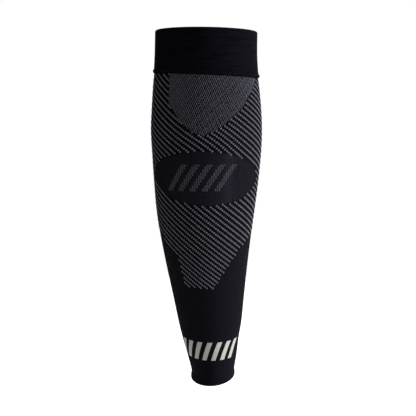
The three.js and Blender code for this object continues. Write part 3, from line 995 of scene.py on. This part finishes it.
# %% [markdown]
# ## The oval's motif
# The oval is plain but for a motif in dark grey stitches. It is a generic row of leaning bars.

# %% The motif
MOTIF_COURSE = 1.3
MOTIF_COURSES = 17
MOTIF_NEEDLES = 27
MOTIF_LEFT_ANGLE = -43.0
BAR_NEEDLES = 3
BAR_PITCH = 6
COURSES_A_STEP = 2
MOTIF_BREADTH = 1.25
MOTIF_OVERLAP = 1.1
MOTIF_SINK = 0.05
MOTIF_UNEVENNESS = 0.05

motif_lean = MOTIF_COURSES // COURSES_A_STEP
needle, course = np.meshgrid(np.arange(MOTIF_NEEDLES + motif_lean), np.arange(MOTIF_COURSES))
along = needle - (MOTIF_COURSES - 1 - course) // COURSES_A_STEP
in_motif = (along >= 0) & (along < MOTIF_NEEDLES) & (along % BAR_PITCH < BAR_NEEDLES)
motif_start = round(turn_of(MOTIF_LEFT_ANGLE) * NEEDLES)
motif_turns = (motif_start + needle[in_motif] + 0.5) / NEEDLES
motif_rows = oval_centre + (course[in_motif] - MOTIF_COURSES / 2) * MOTIF_COURSE
motif_heights = np.full(len(motif_rows), MOTIF_COURSE * MOTIF_OVERLAP)
motif = knit_chart(
    "motif_stitches",
    np.column_stack([motif_turns, motif_rows / sleeve_length]),
    np.zeros(len(motif_turns)),
    np.column_stack([local_needle(motif_rows), motif_heights]),
    stitch_shape, size_mm=(MOTIF_BREADTH, 1.0, STITCH_RISE), lift_mm=PLAIN_RISE - MOTIF_SINK,
    uneven=MOTIF_UNEVENNESS, seed=7, yarn=motif_yarn,
)
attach(motif, "root")

# %% [markdown]
# ## The print at the wrist
# A thin silver-grey transfer film is pressed on near the wrist. It is cut into the same generic
# bars, and each is a thin closed slab that follows the fabric. The film is smoother than the
# knit, so it shines a little more, and its grain is finer.

# %% The print
FILM = 0.15
PRINT_TOP = 265.5
PRINT_BOTTOM = 281.5
PRINT_LEFT_ANGLE = -72.0
PRINT_RIGHT_ANGLE = 64.0
PRINT_BARS = 7
PRINT_SLOPE = 0.8
PRINT_ROWS = 17
PRINT_COLUMNS = 7
print_film = grained_material(
    "silver_transfer_film", dark="#7c7b76", light="#8f8e88", roughness=0.6, specular=0.3,
    grains_a_mm=1.4, detail=3.0, bump=0.5,
)


def film_bars(name, material):
    """Thin slabs that follow the sleeve, one for each bar. A bar is as wide as the gap after it."""
    rows, columns = PRINT_ROWS, PRINT_COLUMNS
    share = np.linspace(0, 1, rows)[:, None]
    within = np.linspace(0, 1, columns)[None, :]
    rim = [*range(columns), *range(2 * columns - 1, rows * columns, columns)]
    rim += [*range(rows * columns - 2, (rows - 1) * columns - 1, -1)]
    rim += [*range((rows - 2) * columns, 0, -columns)]
    points, faces = [], []
    for bar in range(PRINT_BARS):
        along = (bar + within / 2 - (share - 0.5) * PRINT_SLOPE) / PRINT_BARS
        angle = PRINT_LEFT_ANGLE + (PRINT_RIGHT_ANGLE - PRINT_LEFT_ANGLE) * along
        down = PRINT_TOP + (PRINT_BOTTOM - PRINT_TOP) * share + 0 * angle
        low = len(points)
        high = low + rows * columns
        for offset in (PLAIN_RISE, PLAIN_RISE + FILM):
            points += on_sleeve(turn_of(angle), down, offset).reshape(-1, 3).tolist()
        for row in range(rows - 1):
            for column in range(columns - 1):
                a = row * columns + column
                b, c, d = a + 1, a + columns + 1, a + columns
                faces.append((high + a, high + d, high + c, high + b))
                faces.append((low + a, low + b, low + c, low + d))
        for a, b in zip(rim, rim[1:] + rim[:1]):
            faces.append((low + a, high + a, high + b, low + b))
    mesh = bpy.data.meshes.new(name)
    mesh.from_pydata(points, [], faces)
    mesh.materials.append(material)
    return put_in_scene(name, mesh)


wrist_print = film_bars("wrist_print", print_film)
print("print:", PRINT_BARS, "bars,", len(wrist_print.data.polygons), "faces")
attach(wrist_print, "root")

# %% [markdown]
# ## The cloth's flat size
# Off the arm the sleeve is narrower. It lies flat as a tapered tube, about a fifth narrower than
# it is worn.

# %% [markdown]
# ## Putting the helpers away
# The chart's surface and the two yarn shapes are no part of the sleeve. The stitches are plain
# meshes by now, so nothing needs the helpers any more, and they would only show in the picture.

# %% Put the helpers away
for helper in (surface, stitch_shape, strand_shape):
    bpy.data.objects.remove(helper)

# %% [markdown]
# ## Floor, light and camera
# The sleeve hangs in white surroundings, lit more from its right. The camera stands where the
# photographer's did, a little above the middle and tilted down.

# %% Floor and surroundings
FLOOR_DEPTH = 0.45
FLOOR_SIZE = 2.4
FLOOR_GLOW = 0.75
# the light from a direction grows with that direction's X, between these two values of it
DIM_PLACE = -0.7
BRIGHT_PLACE = 1.0
DIM_STRENGTH = 0.03
BRIGHT_STRENGTH = 1.05
floor_mesh = bpy.data.meshes.new("floor")
edge = FLOOR_SIZE / 2
floor_mesh.from_pydata(
    [(-edge, -edge, -FLOOR_DEPTH), (edge, -edge, -FLOOR_DEPTH), (edge, edge, -FLOOR_DEPTH),
     (-edge, edge, -FLOOR_DEPTH)], [], [(0, 1, 2, 3)],
)
floor = put_in_scene("floor", floor_mesh)
floor_paint, floor_tree = fresh_material("white_floor")
floor_cloth = node(floor_tree, "ShaderNodeBsdfPrincipled", {
    "Base Color": (0.9, 0.9, 0.9, 1), "Roughness": 1.0, "Specular IOR Level": 0.0,
    "Emission Color": (1, 1, 1, 1), "Emission Strength": FLOOR_GLOW,
})
node(floor_tree, "ShaderNodeOutputMaterial", {0: floor_cloth.outputs[0]})
floor_mesh.materials.append(floor_paint)

scene = bpy.context.scene
scene.view_settings.view_transform = "Standard"
world = bpy.data.worlds.new("white_studio")
scene.world = world
world.use_nodes = True
world.node_tree.nodes.clear()
seen = node(world.node_tree, "ShaderNodeBackground", {"Color": (1, 1, 1, 1), "Strength": 1.0})
direction = node(world.node_tree, "ShaderNodeTexCoord")
sides = node(world.node_tree, "ShaderNodeSeparateXYZ", {0: direction.outputs["Generated"]})
strength = node(world.node_tree, "ShaderNodeMapRange", {
    "Value": sides.outputs[0], "From Min": DIM_PLACE, "From Max": BRIGHT_PLACE,
    "To Min": DIM_STRENGTH, "To Max": BRIGHT_STRENGTH,
})
lights_up = node(
    world.node_tree, "ShaderNodeBackground",
    {"Color": (1, 1, 1, 1), "Strength": strength.outputs[0]},
)
ray = node(world.node_tree, "ShaderNodeLightPath")
both = node(world.node_tree, "ShaderNodeMixShader", {
    0: ray.outputs["Is Camera Ray"], 1: lights_up.outputs[0], 2: seen.outputs[0],
})
node(world.node_tree, "ShaderNodeOutputWorld", {0: both.outputs[0]})
print("surroundings:", world.name)

# %% Light and camera
KEY_PLACE = (1.4, -0.15, 0.2)
KEY_TARGET = (0, 0, -0.15)
KEY_SIZE = 0.8
KEY_POWER = 40
key_data = bpy.data.lights.new("key_light", "AREA")
key_data.shape = "DISK"
key_data.size = KEY_SIZE
key_data.energy = KEY_POWER
key_light = put_in_scene("key_light", key_data)
key_light.location = KEY_PLACE
aim = np.array(KEY_TARGET) - np.array(KEY_PLACE)
key_light.rotation_euler = (
    math.atan2(math.hypot(aim[0], aim[1]), -aim[2]), 0, math.atan2(-aim[0], aim[1])
)

CAMERA_PLACE = (0.0015, -0.7425, -0.0677)
CAMERA_TILT = 6.53
LENS_MM = 73.5
camera_data = bpy.data.cameras.new("camera")
camera_data.lens = LENS_MM
camera = put_in_scene("camera", camera_data)
camera.location = CAMERA_PLACE
camera.rotation_euler = (math.radians(90 - CAMERA_TILT), 0, 0)
scene.camera = camera
print("camera:", LENS_MM, "mm lens, tilted down by", CAMERA_TILT, "degrees")
